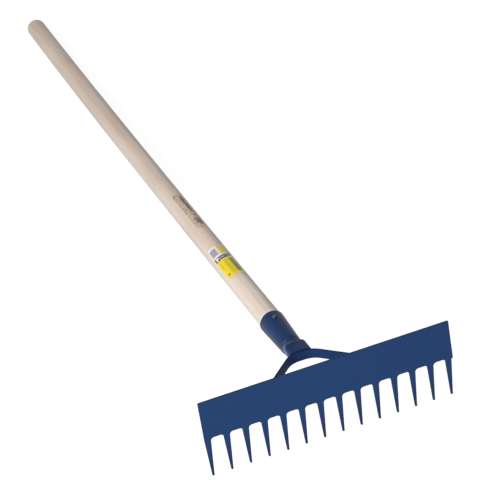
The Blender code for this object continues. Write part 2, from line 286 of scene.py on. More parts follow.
woodTone = blend(grainGroup, tanMask, grainIn["Pale"], grainIn["Tan"])
woodTone = blend(grainGroup, times(grainGroup, pores, ash["poreShare"]), woodTone, grainIn["Pore"])
put(grainGroup, grainOut["Colour"], woodTone)
grainRough = ramp(grainGroup, streak, *noiseSpan, ash["roughFrom"], ash["roughTo"])
put(grainGroup, grainOut["Roughness"], grainRough)
put(grainGroup, grainOut["Height"], minus(grainGroup, times(grainGroup, streak, ash["streakHeight"]),
                                          times(grainGroup, pores, ash["poreHeight"])))
print("shared finishes made")


# Small helpers for shapes. The settings say how near vertices are merged, within what angle faces count as
# flat, and how strongly a large face pulls the shading of its edges.
shaping = {"nodeMerge": 0.00001, "latheMerge": 0.000004, "flatWithin": 0.5, "evenWeight": 80}


def addPiece(name, shape, surface, nodes, sharp):
    mesh = bpy.data.meshes.new(name)
    shape.to_mesh(mesh)
    shape.free()
    mesh.materials.append(surface)
    mesh.shade_smooth()
    mesh.set_sharp_from_angle(angle=math.radians(sharp))
    piece = bpy.data.objects.new(name, mesh)
    bpy.context.scene.collection.objects.link(piece)
    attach(piece, "root")
    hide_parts(*nodes)
    return piece


def mergedCopy(name):
    # The node's own mesh is loose triangles, so its copy is merged and its flat faces are made whole.
    shape = bmesh.new()
    shape.from_mesh(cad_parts[name].data)
    bmesh.ops.remove_doubles(shape, verts=shape.verts, dist=shaping["nodeMerge"])
    bmesh.ops.dissolve_limit(shape, angle_limit=math.radians(shaping["flatWithin"]), verts=shape.verts,
                             edges=shape.edges)
    return shape


def markSides(shape, direction, low, high):
    # Marks the faces whose normals lie that much along a direction, such as the cut sides of a plate.
    marks = shape.faces.layers.float.new("side")
    for face in shape.faces:
        face[marks] = 1.0 if low <= abs(face.normal.dot(direction)) <= high else 0.0
    return shape


def shadeSides(tree, shader, share):
    # Painted shade: the paint is darkened on the faces that markSides has marked.
    repaint(tree, shader, times(tree, attributeOf(tree, "side"), share), paint["darkened"])


def softenEdges(piece):
    # Lets the broken edges shade as round ones while the flat faces stay flat.
    even = piece.modifiers.new("Even", "WEIGHTED_NORMAL")
    even.weight = shaping["evenWeight"]
    even.keep_sharp = False


def lathe(profile, steps):
    # Spins a line of radii and heights about Z.
    shape = bmesh.new()
    points = [shape.verts.new((radius, 0, height)) for radius, height in profile]
    edges = [shape.edges.new(pair) for pair in zip(points, points[1:])]
    bmesh.ops.spin(shape, geom=points + edges, cent=(0, 0, 0), axis=(0, 0, 1), angle=math.tau,
                   steps=steps, use_merge=True)
    bmesh.ops.remove_doubles(shape, verts=shape.verts, dist=shaping["latheMerge"])
    bmesh.ops.recalc_face_normals(shape, faces=shape.faces)
    return shape


def loft(stations, sides, placeVert):
    # A tube grown ring by ring from one circle: each vertex keeps its turn and placeVert gives its place.
    shape = bmesh.new()
    turnLayer = shape.verts.layers.float.new("turn")
    ring = bmesh.ops.create_circle(shape, segments=sides, radius=1)["verts"]
    for vert in ring:
        vert[turnLayer] = math.atan2(vert.co.y, vert.co.x) % math.tau
    firstEdges = list(shape.edges)
    edges = firstEdges
    for number, station in enumerate(stations):
        if number:
            grown = bmesh.ops.extrude_edge_only(shape, edges=edges)["geom"]
            ring = [part for part in grown if isinstance(part, bmesh.types.BMVert)]
            edges = [part for part in grown if isinstance(part, bmesh.types.BMEdge)]
        for vert in ring:
            vert.co = placeVert(station, vert[turnLayer])
    return shape, firstEdges, edges


# The blade, whose paint is darker towards the tips of the teeth
blade = {
    "drift": 0.10, "gloss": 0.40, "scuffs": 0.35, "sideShade": 0.85, "tipDark": 0.45,
    "darkFrom": 0.050, "darkTo": 0.004, "sideSlope": 0.9, "sharp": 60,
}
bladePaint, tree, shader = enamel("bladePaint", drift=blade["drift"], gloss=blade["gloss"],
                                  scuffs=blade["scuffs"])
# painted shade on the blade's cut sides, its top and its ends
shadeSides(tree, shader, blade["sideShade"])
place = splitOf(tree, pointIn(tree, stand["place"], math.radians(-stand["tilt"])))
darkerToTips = times(tree, ramp(tree, place["Z"], blade["darkFrom"], blade["darkTo"]), blade["tipDark"])
repaint(tree, shader, darkerToTips, paint["darkened"])
shape = markSides(mergedCopy("blade"), headBack, 0, blade["sideSlope"])
bladePlate = addPiece("bladePlate", shape, bladePaint, ["blade"], blade["sharp"])
softenEdges(bladePlate)

# The bow
bow = {
    "colour": (0.0145, 0.047, 0.153, 1), "drift": 0.10, "gloss": 0.48, "scuffs": 0.25, "specular": 0.07,
    "sideShade": 0.7, "sideSlope": 0.5, "sharp": 60,
}
bowPaint, tree, shader = enamel("bowPaint", colour=bow["colour"], drift=bow["drift"], gloss=bow["gloss"],
                                scuffs=bow["scuffs"], specular=bow["specular"])
# painted shade on the strap's upper and lower edges
shadeSides(tree, shader, bow["sideShade"])
shape = markSides(mergedCopy("bow"), headUp, bow["sideSlope"], 1)
bowStrap = addPiece("bowStrap", shape, bowPaint, ["bow"], bow["sharp"])
softenEdges(bowStrap)
print("blade and bow made")

# The socket: a cone pressed to a flat oval, its end shaped to the back of the bow
socket = {
    "rim": 0.2308, "rimRadius": 0.0207, "taper": 0.044, "shift": 0.0011,
    "roundEnd": 0.1540, "flatStart": 0.147, "wall": 0.0016, "lip": 0.00045, "lipSteps": 3,
    "bulge": 0.0042, "flatShift": 0.0034, "flatWidth": 0.0394, "flatThickness": 0.016, "crown": 0.36,
    "sides": 192, "coneSteps": 40, "shoulderSteps": 20, "flatSteps": 36, "sharp": 60,
    # the dents' depth as a share of the radius, and how close they lie round and along
    "dent": 0.005, "dentsRound": 2, "dentsAlong": 60,
}
# The press leaves a raised fold round the left of the flat. Each point of its line has its turn in degrees,
# its place along the socket and its strength.
fold = {
    "line": [(174, 0.1235, 1.0), (158, 0.1295, 1.0), (157, 0.1380, 1.0), (137, 0.1434, 0.90),
             (118, 0.1462, 0.66), (103, 0.1475, 0.34), (90, 0.1478, 0.12), (78, 0.1478, 0.0)],
    "height": 0.0006, "width": 0.0013, "halo": 0.0038, "haloShare": 0.18, "steps": 24,
}
bowLine = {
    "shift": 0.0025, "lift": 0.0016, "back": 0.1175, "flat": 0.0352, "bend": 0.033, "angle": 45,
    "inner": 0.030,
}
bead = {
    "radius": 0.0011, "proud": 0.0004, "gap": 0.0003, "sides": 14, "ringSteps": 72, "step": 0.0005,
    # each ripple's length, depth and drop, how uneven it is, and the share of the radius left at an end
    "ripple": 0.0021, "depth": 0.13, "drop": 0.6, "uneven": 0.05, "unevenScale": 900, "tip": 0.2,
}


def coneRadius(along):
    return socket["rimRadius"] - socket["taper"] * (socket["rim"] - along)


def bowBack(across, away):
    # How far back a line lies that keeps a distance from the strap's back face.
    straight = bowLine["flat"] / 2 - bowLine["inner"] * math.tan(math.radians(bowLine["angle"] / 2))
    bent = max(0, abs(across) - straight)
    return bowLine["back"] - bowLine["bend"] + math.sqrt((bowLine["bend"] + away) ** 2 - bent ** 2)


def pressedOval(turn, inset):
    halfWidth = socket["flatWidth"] / 2 - inset
    halfHeight = socket["flatThickness"] / 2 - inset
    reach = max(-1, min(1, math.cos(turn) / socket["crown"]))
    return (halfWidth - halfHeight) * reach + halfHeight * math.cos(turn), halfHeight * math.sin(turn)


def pressShare(along, length):
    share = min(max((socket["flatStart"] + length - along) / length, 0), 1)
    return share * share * (3 - 2 * share)


def socketPoint(station, turn):
    # A station is a place along the axis and, on the flat, the share of the way from there to the bow.
    along, share = station
    press = pressShare(along, socket["roundEnd"] - socket["flatStart"])
    bulge = pressShare(along, socket["bulge"])
    flatX, flatUp = pressedOval(turn, 0)
    dentPoint = Vector((math.cos(turn) * socket["dentsRound"], math.sin(turn) * socket["dentsRound"],
                        along * socket["dentsAlong"]))
    radius = coneRadius(along) * (1 + socket["dent"] * noise.noise(dentPoint))
    roundX = radius * math.cos(turn) + socket["shift"]
    across = bulge * (flatX + socket["flatShift"]) + (1 - bulge) * roundX
    up = press * (flatUp + bowLine["lift"]) + (1 - press) * radius * math.sin(turn)
    if share:
        rise = math.radians(stand["axisRise"])
        front = bowBack(across - bowLine["shift"], 2 * (bead["gap"] + bead["radius"]))
        end = (front + up * math.sin(rise)) / math.cos(rise)
        along += (end - along) * share
    return shaftFrame @ Vector((across, along, up))


def stretchOf(start, end, steps):
    return [start + (end - start) * k / steps for k in range(steps)]


coneLine = stretchOf(socket["rim"], socket["roundEnd"], socket["coneSteps"])
shoulderLine = stretchOf(socket["roundEnd"], socket["flatStart"], socket["shoulderSteps"])
stations = [(along, 0) for along in coneLine + shoulderLine]
stations += [(socket["flatStart"], k / socket["flatSteps"]) for k in range(socket["flatSteps"] + 1)]
shape = loft(stations, socket["sides"], socketPoint)[0]
bmesh.ops.recalc_face_normals(shape, faces=shape.faces)

# the fold is raised from that shape, and how near each vertex lies to it is kept for the painted highlight
# along it
crest = []
for (turn, along, strength), (nextTurn, nextAlong, nextStrength) in zip(fold["line"], fold["line"][1:]):
    for k in range(fold["steps"]):
        share = k / fold["steps"]
        station = (along + (nextAlong - along) * share, 0)
        spot = socketPoint(station, math.radians(turn + (nextTurn - turn) * share))
        crest.append((spot, strength + (nextStrength - strength) * share))
nearest = kdtree.KDTree(len(crest))
for number, (spot, strength) in enumerate(crest):
    nearest.insert(spot, number)
nearest.balance()
shape.normal_update()
highlightLayer = shape.verts.layers.float.new("wearAndHighlight")
for vert in shape.verts:
    spot, number, away = nearest.find(vert.co)
    strength = crest[number][1]
    share = strength * math.exp(-(away / fold["width"]) ** 2)
    vert[highlightLayer] = share + strength * fold["haloShare"] * math.exp(-(away / fold["halo"]) ** 2)
    vert.co += vert.normal * (fold["height"] * share)

# painted shade darkens a patchy band below its rim, painted light makes its shoulder paler, a painted sheen
# lightens the shoulder at the right, painted shade darkens its edge and a painted highlight lies along the
# raised fold
socketLook = {
    "colour": (0.0055, 0.030, 0.108, 1), "drift": 0.10, "gloss": 0.38, "scuffs": 0.4,
    "paintedShade": (0.020, 0.026, 0.050, 1), "paintedShadeShare": 0.6, "paintedShadeFrom": (0.2215, 0.2245),
    "shadePatches": (210, 3, 0.6), "patchesFrom": (0.30, 0.55), "leastShade": 0.5,
    "shoulderLift": (0.034, 0.040, 0.070, 1), "shoulderLiftShare": 0.4, "shoulderLiftFar": (0.156, 0.149),
    "shoulderLiftNear": (0.1400, 0.1465),
    "shoulderSheen": (0.10, 0.11, 0.14, 1), "shoulderSheenShare": 0.55, "shoulderSheenRight": (0.005, 0.013),
    "shoulderSheenFar": (0.1560, 0.1525), "shoulderSheenNear": (0.1455, 0.1485),
    "edge": (0.006, 0.008, 0.014, 1), "edgeShare": 0.6, "edgeFrom": (0.2288, 0.2300),
    "wearAndHighlight": (0.21, 0.29, 0.50, 1), "wearAndHighlightShare": 0.8,
}
socketPaint, tree, shader = enamel("socketPaint", colour=socketLook["colour"], drift=socketLook["drift"],
                                   gloss=socketLook["gloss"], scuffs=socketLook["scuffs"])
local = pointIn(tree, shaftFrame.translation, shaftTilt)
place = splitOf(tree, local)
# painted shade: a band below the rim is darkened, broken into patches
shadePatches = ramp(tree, noiseOf(tree, local, *socketLook["shadePatches"]), *socketLook["patchesFrom"],
                   socketLook["leastShade"], 1.0)
paintedShade = times(tree, ramp(tree, place["Y"], *socketLook["paintedShadeFrom"]), socketLook["paintedShadeShare"], shadePatches)
repaint(tree, shader, paintedShade, socketLook["paintedShade"])
# painted light: the shoulder and the foot below it are made paler and greyer, lifting their shade
shoulderLifted = times(tree, ramp(tree, place["Y"], *socketLook["shoulderLiftFar"]),
              ramp(tree, place["Y"], *socketLook["shoulderLiftNear"]), socketLook["shoulderLiftShare"])
repaint(tree, shader, shoulderLifted, socketLook["shoulderLift"])
# painted sheen: the right side of the shoulder is lightened
shoulderSheen = times(tree, ramp(tree, place["X"], *socketLook["shoulderSheenRight"]),
                ramp(tree, place["Y"], *socketLook["shoulderSheenFar"]),
                ramp(tree, place["Y"], *socketLook["shoulderSheenNear"]), socketLook["shoulderSheenShare"])
repaint(tree, shader, shoulderSheen, socketLook["shoulderSheen"])
# painted shade: the last strip before the rim's edge is darkened
edge = times(tree, ramp(tree, place["Y"], *socketLook["edgeFrom"]), socketLook["edgeShare"])
repaint(tree, shader, edge, socketLook["edge"])
# painted highlight along the raised fold, with a faint halo round it
wearAndHighlight = times(tree, attributeOf(tree, "wearAndHighlight"), socketLook["wearAndHighlightShare"])
repaint(tree, shader, wearAndHighlight, socketLook["wearAndHighlight"])
socketTube = addPiece("socketTube", shape, socketPaint, ["socket"], socket["sharp"])
wall = socketTube.modifiers.new("Wall", "SOLIDIFY")
wall.thickness = socket["wall"]
wall.offset = -1
lip = socketTube.modifiers.new("Lip", "BEVEL")
lip.width = socket["lip"]
lip.segments = socket["lipSteps"]
lip.limit_method = "ANGLE"
lip.angle_limit = math.radians(socket["sharp"])

# The rivet through it
rivet = {
    "place": 0.2125, "shank": 0.005, "head": 0.0082, "height": 0.0023, "gap": 0.0003, "brim": 0.0002,
    "domeSteps": 12, "sides": 48, "sharp": 35,
    # above this height on each head the hammer has flattened it and left it uneven
    "peen": 0.0015, "flattened": 0.55, "uneven": 0.5, "unevenScale": 500,
    "colour": (0.030, 0.055, 0.100, 1), "gloss": 0.22, "scuffs": 0.8, "depth": 2.0,
    # its crown carries a painted highlight on one side and painted shade on the other, along a slanted line
    "slant": 1.1, "wearAndHighlight": (0.088, 0.125, 0.180, 1), "wearAndHighlightFrom": (0.0030, 0.0002),
    "paintedShade": (0.007, 0.015, 0.033, 1), "paintedShadeFrom": (0.0022, 0.0048), "paintedShadeShare": 0.8,
}
seat = coneRadius(rivet["place"] + rivet["head"] / 2) + rivet["gap"]
headLine = []
for k in range(rivet["domeSteps"] + 1):
    turn = math.pi / 2 * k / rivet["domeSteps"]
    headLine.append((rivet["head"] / 2 * math.sin(turn), seat + rivet["height"] * math.cos(turn)))
headLine.append((rivet["head"] / 2 - rivet["brim"], seat - rivet["brim"]))
headLine.append((rivet["shank"] / 2, seat - rivet["brim"]))
shape = lathe(headLine + [(radius, -height) for radius, height in reversed(headLine)], rivet["sides"])
for vert in shape.verts:
    over = max(0, abs(vert.co.z) - seat - rivet["peen"])
    dent = over * (rivet["flattened"] + rivet["uneven"] * noise.noise(vert.co * rivet["unevenScale"]))
    vert.co.z -= math.copysign(dent, vert.co.z)
bmesh.ops.transform(shape, matrix=shaftFrame @ Matrix.Translation((socket["shift"], rivet["place"], 0)),
                    verts=shape.verts)
rivetPaint, tree, shader = enamel("rivetPaint", colour=rivet["colour"], gloss=rivet["gloss"],
                                  scuffs=rivet["scuffs"], depth=rivet["depth"])
place = splitOf(tree, pointIn(tree, shaftFrame.translation, shaftTilt))
slantwise = minus(tree, place["X"], times(tree, minus(tree, place["Y"], rivet["place"]), rivet["slant"]))
# painted highlight on the crown's lit side, then painted shade on its other side
repaint(tree, shader, ramp(tree, slantwise, *rivet["wearAndHighlightFrom"]), rivet["wearAndHighlight"])
repaint(tree, shader, ramp(tree, slantwise, *rivet["paintedShadeFrom"], 0.0, rivet["paintedShadeShare"]), rivet["paintedShade"])
addPiece("rivetPin", shape, rivetPaint, ["rivet"], rivet["sharp"])
print("socket and rivet made")


# The welds: beads laid in overlapping ripples
def beadTube(path, radius, closed, upward):
    # Along a path, a round section that swells and drops once for every ripple.
    lengths = [0]
    for here, ahead in zip(path, path[1:]):
        lengths.append(lengths[-1] + (ahead - here).length)
    total = lengths[-1] + ((path[0] - path[-1]).length if closed else 0)
    count = round(total / bead["ripple"])

    def placeVert(number, turn):
        before = path[number - 1] if number or closed else path[0]
        after = path[(number + 1) % len(path)] if number < len(path) - 1 or closed else path[-1]
        ahead = (after - before).normalized()
        aside = ahead.cross(upward).normalized()
        lift = aside.cross(ahead)
        beat = lengths[number] / total * count
        wave = (beat - math.floor(beat)) ** bead["drop"]
        uneven = bead["uneven"] * noise.noise(path[number] * bead["unevenScale"])
        size = radius * (1 - bead["depth"] * (1 - wave) + uneven)
        if not closed:
            room = min(lengths[number], total - lengths[number]) / radius
            size *= max(bead["tip"], math.sqrt(1 - (1 - min(1, room)) ** 2))
        return path[number] + aside * (size * math.cos(turn)) + lift * (size * math.sin(turn))

    shape, first, last = loft(range(len(path)), bead["sides"], placeVert)
    if closed:
        bmesh.ops.bridge_loops(shape, edges=first + last)
    else:
        bmesh.ops.holes_fill(shape, edges=shape.edges, sides=bead["sides"])
    bmesh.ops.recalc_face_normals(shape, faces=shape.faces)
    return shape


def fine(points, step, closed):
    # The same line with a point about every step.
    made = []
    pairs = list(zip(points, points[1:] + points[:1] if closed else points[1:]))
    for here, ahead in pairs:
        count = max(1, round((ahead - here).length / step))
        made += [here.lerp(ahead, k / count) for k in range(count)]
    return made if closed else made + [points[-1]]


weld = {
    "colour": (0.005, 0.028, 0.100, 1), "gloss": 0.50, "scuffs": 0.2, "depth": 2.5, "specular": 0.06,
    "sharp": 60,
}
weldPaint = enamel("weldPaint", colour=weld["colour"], gloss=weld["gloss"], scuffs=weld["scuffs"],
                   depth=weld["depth"], specular=weld["specular"])[0]
axisSlope = math.tan(math.radians(stand["axisRise"]))
bowMiddle = stand["axisHeight"] + bowLine["lift"] / math.cos(math.radians(stand["axisRise"]))
ringPath = []
for k in range(bead["ringSteps"]):
    across, up = pressedOval(math.tau * k / bead["ringSteps"], bead["radius"] - bead["proud"])
    behind = bowBack(across + socket["flatShift"] - bowLine["shift"], bead["gap"] + bead["radius"])
    height = bowMiddle + behind * axisSlope + up
    ringPath.append(headFrame @ Vector((socket["flatShift"] + across, behind, height)))
shape = beadTube(fine(ringPath, bead["step"], True), bead["radius"], True, alongShaft)
addPiece("socketBead", shape, weldPaint, ["socket_weld"], weld["sharp"])

foot = {
    "radius": 0.0018, "front": 0.0033, "reach": 0.1145, "length": 0.022, "height": 0.0153, "bend": 0.013,
    "plate": 0.003, "cornerSteps": 4,
}


def footLine(side):
    # Each foot's bead runs from its bend along the strap's upper edge and turns down its end.
    knee = bowLine["flat"] / 2 + foot["reach"] - foot["front"]
    start = knee + foot["bend"] * math.tan(math.radians(bowLine["angle"] / 2))
    end = knee + foot["length"] + bead["gap"] + foot["radius"]
    centre = bowMiddle + foot["front"] * axisSlope
    top = centre + foot["plate"] * axisSlope + foot["height"] / 2 + bead["gap"] + foot["radius"]
    points = [(start, top)]
    for k in range(foot["cornerSteps"] + 1):
        turn = math.pi / 2 * k / foot["cornerSteps"]
        points.append((end - foot["radius"] + foot["radius"] * math.sin(turn),
                       top - foot["radius"] + foot["radius"] * math.cos(turn)))
    points.append((end, centre - foot["height"] / 4))
    behind = foot["plate"] + bead["gap"] + foot["radius"]
    return [headFrame @ Vector((bowLine["shift"] + side * across, behind, up)) for across, up in points]


for side, name, node in ((-1, "leftBead", "blade_weld_left"), (1, "rightBead", "blade_weld_right")):
    shape = beadTube(fine(footLine(side), bead["step"], False), foot["radius"], False, headBack)
    addPiece(name, shape, weldPaint, [node], weld["sharp"])
print("weld beads made")

# The shaft
shaft = {
    "diameter": 0.0376, "farDiameter": 0.0361, "far": 1.5105, "dome": 0.0135, "end": 0.163,
    "chamfer": 0.0015, "swayNear": 0.0060, "swayFar": 0.0077, "mapLength": 1.6,
    "sides": 96, "domeSteps": 24, "lengthSteps": 120, "sharp": 30,
}
domeBase = shaft["far"] - shaft["dome"]


def shaftRadius(along):
    part = (along - socket["rim"]) / (domeBase - socket["rim"])
    return shaft["diameter"] / 2 + (shaft["farDiameter"] - shaft["diameter"]) / 2 * part


def sway(along):
    part = max(0, (along - socket["rim"]) / (shaft["far"] - socket["rim"]))
    return socket["shift"] - shaft["swayNear"] * part + shaft["swayFar"] * part ** 3


def layOnShaft(shape):
    # From a lathe's upright place to the shaft's, with its bow and a map of the turn and the distance along.
    uvLayer = shape.loops.layers.uv.new("around")
    for face in shape.faces:
        turns = [math.atan2(loop.vert.co.x, loop.vert.co.y) / math.tau + 0.5 for loop in face.loops]
        wide = max(turns) - min(turns) > 0.5
        for loop, turn in zip(face.loops, turns):
            around = turn + 1 if wide and turn < 0.5 else turn
            loop[uvLayer].uv = (around, loop.vert.co.z / shaft["mapLength"])
    for vert in shape.verts:
        along = vert.co.z
        vert.co = shaftFrame @ Vector((vert.co.x + sway(along), along, vert.co.y))
    # the change of axes turns the faces inside out, so they are turned back
    bmesh.ops.reverse_faces(shape, faces=shape.faces)


def readMap(tree):
    # That map, the turn in degrees to the right from the shaft's upper side, and the millimetres along it.
    aroundMap = addNode(tree, "ShaderNodeUVMap", uv_map="around").outputs[0]
    around = splitOf(tree, aroundMap)
    turnOf = times(tree, minus(tree, around["X"], 0.5), 360)
    return aroundMap, turnOf, times(tree, around["Y"], 1000 * shaft["mapLength"])


def patch(tree, turnOf, alongOf, left, right, low, high, soft):
    # A soft-edged rectangle: across in degrees round the shaft, along in millimetres.
    return times(tree, between(tree, turnOf, left, right, soft), between(tree, alongOf, low, high, soft / 2))


profile = []
for k in range(shaft["domeSteps"]):
    turn = math.pi / 2 * k / shaft["domeSteps"]
    profile.append((shaftRadius(domeBase) * math.sin(turn), domeBase + shaft["dome"] * math.cos(turn)))
for along in stretchOf(domeBase, socket["rim"], shaft["lengthSteps"]) + [socket["rim"]]:
    profile.append((shaftRadius(along), along))
tip = coneRadius(shaft["end"]) - socket["wall"] - bead["gap"]
profile.append((tip, shaft["end"] + shaft["chamfer"]))
profile.append((tip - shaft["chamfer"], shaft["end"]))
profile.append((0, shaft["end"]))
shape = lathe(profile, shaft["sides"])
layOnShaft(shape)

wood = {
    "specular": 0.8, "grainStrength": 0.6, "grainDepth": 0.00012, "burnDepth": 1.5,
    # a paler ring where the shaft is turned down for the socket, and painted shade, darker and warmer,
    # towards the far end
    "ring": (0.90, 0.85, 0.86, 1), "ringShare": 0.75, "ringFrom": (243, 234),
    "farShade": (0.91, 0.87, 0.84, 1), "farShadeFrom": (330, 1150),
    # painted light: the wood of its shaded right side is made paler than the rest, and a painted sheen makes
    # the left side greyer
    "darker": (0.885, 0.875, 0.85, 1), "paintedFill": (1, 1, 1.01, 1), "paintedFillFrom": (-28, 14), "paintedFillTo": (54, 26),
    "edgeSheen": (1.005, 1.08, 1.165, 1), "edgeSheenFrom": (-36, -80), "edgeSheenTo": (-178, -130),
    # stretches of another tone: their ends and their tint
    "stretches": [
        (200, 330, (1.025, 1.03, 1.015, 1)),
        (465, 560, (0.985, 0.945, 0.92, 1)),
        (1040, 1320, (0.97, 0.97, 0.965, 1)),
    ],
    "stretchSoft": 40,
    # streaks of another tone along the right side: their sides, ends and tint
    "streaks": [
        (28.5, 37, 150, 880, (0.87, 0.895, 0.90, 1)),
        (37, 44, 150, 600, (0.88, 0.90, 0.915, 1)),
        (11, 29, 1160, 1420, (1.06, 1.10, 1.13, 1)),
    ],
    "streakSoft": 3.0,
    # the label's glue has stained the wood past both of its ends: sides, ends and share
    "stains": [(-52, 26, 363, 380, 0.6), (-14, 44, 462, 477, 0.35)],
    "stain": (0.82, 0.61, 0.09, 1), "stainSoft": 7.0,
}
shaftWood, tree, shader = newSurface("shaftWood", Specular_IOR_Level=wood["specular"])
grain = useGroup(tree, grainGroup, Point=pointIn(tree, shaftFrame.translation, shaftTilt))
aroundMap, turnOf, alongOf = readMap(tree)
ringed = times(tree, ramp(tree, alongOf, *wood["ringFrom"]), wood["ringShare"])
woodColour = blend(tree, ringed, grain["Colour"], wood["ring"])
# painted shade: the wood darkens towards the far end
farShade = ramp(tree, alongOf, *wood["farShadeFrom"], smooth=False)
woodColour = tinted(tree, farShade, woodColour, wood["farShade"])
# painted light on the shaded right side, with the rest darker
paintedFill = times(tree, ramp(tree, turnOf, *wood["paintedFillFrom"]), ramp(tree, turnOf, *wood["paintedFillTo"]))
woodColour = tinted(tree, 1.0, woodColour, blend(tree, paintedFill, wood["darker"], wood["paintedFill"]))
# painted sheen: the left edge is made greyer and cooler
edgeSheen = times(tree, ramp(tree, turnOf, *wood["edgeSheenFrom"]), ramp(tree, turnOf, *wood["edgeSheenTo"]))
woodColour = tinted(tree, edgeSheen, woodColour, wood["edgeSheen"])
for low, high, tint in wood["stretches"]:
    woodColour = tinted(tree, between(tree, alongOf, low, high, wood["stretchSoft"]), woodColour, tint)
for left, right, low, high, tint in wood["streaks"]:
    streaked = patch(tree, turnOf, alongOf, left, right, low, high, wood["streakSoft"])
    woodColour = tinted(tree, streaked, woodColour, tint)
for left, right, low, high, share in wood["stains"]:
    stained = times(tree, patch(tree, turnOf, alongOf, left, right, low, high, wood["stainSoft"]), share)
    woodColour = blend(tree, stained, woodColour, wood["stain"])

# the burnt stamp: a scorched field with broken rows of marks, none of them a letter
stamp = {
    "field": (-17, 33, 540, 665), "fieldSoft": 8.0, "scorch": (0.88, 0.81, 0.68, 1),
    "scorchFrom": (0.40, 0.56), "scorchShare": (0.15, 1.3),
    # how fine the specks are round and along the shaft, and the larger patches that they gather in
    "specks": (30, 470, 1), "patches": (16, 150, 1), "patchShare": 0.2,
    "speckNoise": (1.0, 2, 0.6), "patchNoise": (1.0, 2, 0.5),
    "dark": (0.040, 0.016, 0.003, 1), "char": (0.19, 0.11, 0.050, 1), "brown": (0.42, 0.27, 0.13, 1),
    # each row's sides in degrees, ends in millimetres, the speck value it starts at, its share and tint
    "rows": [
        (10, 33, 594, 660, 0.30, 0.28, "brown"),
        (8, 34, 545, 592, 0.30, 0.24, "brown"),
        (14.5, 29, 598, 657, 0.37, 0.92, "dark"),
        (15, 28, 583, 590, 0.38, 0.88, "dark"),
        (13, 31, 550, 573, 0.38, 0.90, "dark"),
        (-3, 12, 551, 574, 0.44, 0.85, "dark"),
        (-3, 9, 585, 591, 0.42, 0.50, "char"),
        (-20, -8, 546, 665, 0.47, 0.70, "char"),
        (-4, 12, 596, 656, 0.50, 0.66, "char"),
        (-16, 24, 657, 663, 0.40, 0.42, "char"),
        (-4, 14, 537, 545, 0.40, 0.50, "char"),
    ],
    "rowSoft": 1.6, "speckStep": 0.11,
}
specks = noiseOf(tree, stretched(tree, aroundMap, stamp["specks"]), *stamp["speckNoise"])
patches = noiseOf(tree, stretched(tree, aroundMap, stamp["patches"]), *stamp["patchNoise"])
specks = plus(tree, times(tree, specks, 1 - stamp["patchShare"]), times(tree, patches, stamp["patchShare"]))
scorched = times(tree, patch(tree, turnOf, alongOf, *stamp["field"], stamp["fieldSoft"]),
                 ramp(tree, specks, *stamp["scorchFrom"], *stamp["scorchShare"]))
woodColour = tinted(tree, scorched, woodColour, stamp["scorch"])
burn = 0.0
for left, right, low, high, startsAt, share, tint in stamp["rows"]:
    mark = times(tree, patch(tree, turnOf, alongOf, left, right, low, high, stamp["rowSoft"]),
                 ramp(tree, specks, startsAt, startsAt + stamp["speckStep"]), share)
    woodColour = blend(tree, mark, woodColour, stamp[tint])
    burn = maths(tree, "MAXIMUM", burn, mark)
put(tree, shader.inputs["Base Color"], woodColour)
put(tree, shader.inputs["Roughness"], grain["Roughness"])
woodRelief = minus(tree, grain["Height"], times(tree, burn, wood["burnDepth"]))
roughen(tree, shader, woodRelief, wood["grainStrength"], wood["grainDepth"])
addPiece("shaftWood", shape, shaftWood, ["handle"], shaft["sharp"])
print("shaft made")

# The label: a thin film with blocks of colour on it
label = {
    "near": 0.372, "far": 0.470, "left": -59, "right": 39, "thickness": 0.0002, "gap": 0.0003, "steps": 48,
    "specular": 0.25, "coat": 0.05, "glossFrom": 0.34, "glossTo": 0.44, "sharp": 40,
    "creaseStrength": 0.4, "creaseDepth": 0.0002,
    # each pattern's scale, detail and roughness
    "creases": (130, 2, 0.5), "glossPatches": (90, 2, 0.5), "flecks": (420, 3, 0.65),
    "mottle": (150, 3, 0.6),
    # the dark band and the yellow field follow a shallow arc round this turn
    "arcMiddle": -16, "arcBend": 0.0014,
    # the print is speckled, uneven and a little rubbed
    "flecksFrom": (0.30, 0.55), "fleckShare": 0.94,
    "wearAndHighlight": (0.90, 0.86, 0.78, 1), "wearAndHighlightFrom": (0.42, 0.68), "wearAndHighlightShare": 0.45,
}
ink = {
    "white": (0.90, 0.85, 0.85, 1), "lilac": (0.375, 0.36, 0.44, 1), "yellow": (0.90, 0.70, 0.006, 1),
    "gold": (0.74, 0.53, 0.006, 1), "lime": (0.76, 0.67, 0.02, 1), "faded": (0.76, 0.62, 0.22, 1),
    "dark": (0.13, 0.085, 0.085, 1), "pale": (0.46, 0.42, 0.56, 1), "olive": (0.13, 0.12, 0.018, 1),
    "brown": (0.17, 0.115, 0.06, 1), "black": (0.03, 0.022, 0.012, 1), "cream": (0.82, 0.66, 0.36, 1),
    "tawny": (0.90, 0.56, 0.24, 1),
}
